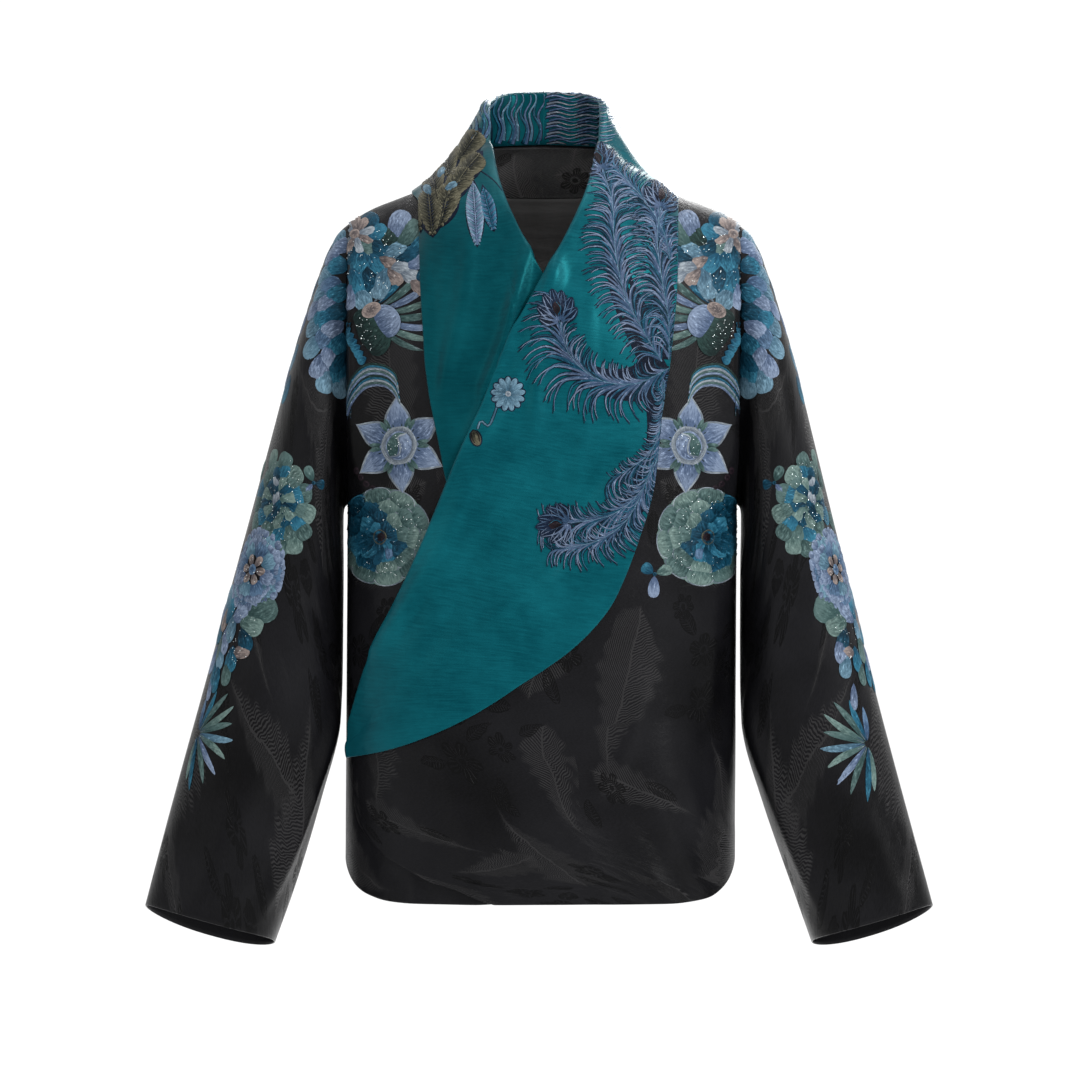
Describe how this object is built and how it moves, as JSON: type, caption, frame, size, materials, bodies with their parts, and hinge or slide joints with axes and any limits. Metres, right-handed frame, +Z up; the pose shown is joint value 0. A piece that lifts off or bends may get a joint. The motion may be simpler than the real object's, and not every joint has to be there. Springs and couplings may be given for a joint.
{
  "type": "wrap jacket",
  "caption": "Worn wrap jacket with a wide shawl collar and straight hanging sleeves, filled out with no wearer, open at neck, cuffs and hem.",
  "frame": {"origin": "middle of the body at shoulder height, where a wearer's shoulders hold the jacket up", "axes": "+Z up along the body, +X towards the wearer's left, front facing -Y"},
  "size_m": [0.7147, 0.2444, 0.7822],
  "materials": {
    "jacquard": "charcoal black jacquard, figures in a slight sheen",
    "satin": "smooth teal satin",
    "lining": "black satin"
  },
  "bodies": {
    "root": {"back": "jacquard", "front_right": "jacquard", "front_left": "jacquard", "sleeve_left": "jacquard", "sleeve_right": "jacquard", "collar_left": "satin", "collar_right": "satin", "neck_facing": "jacquard", "lining_back": "lining"}
  },
  "joints": []
}
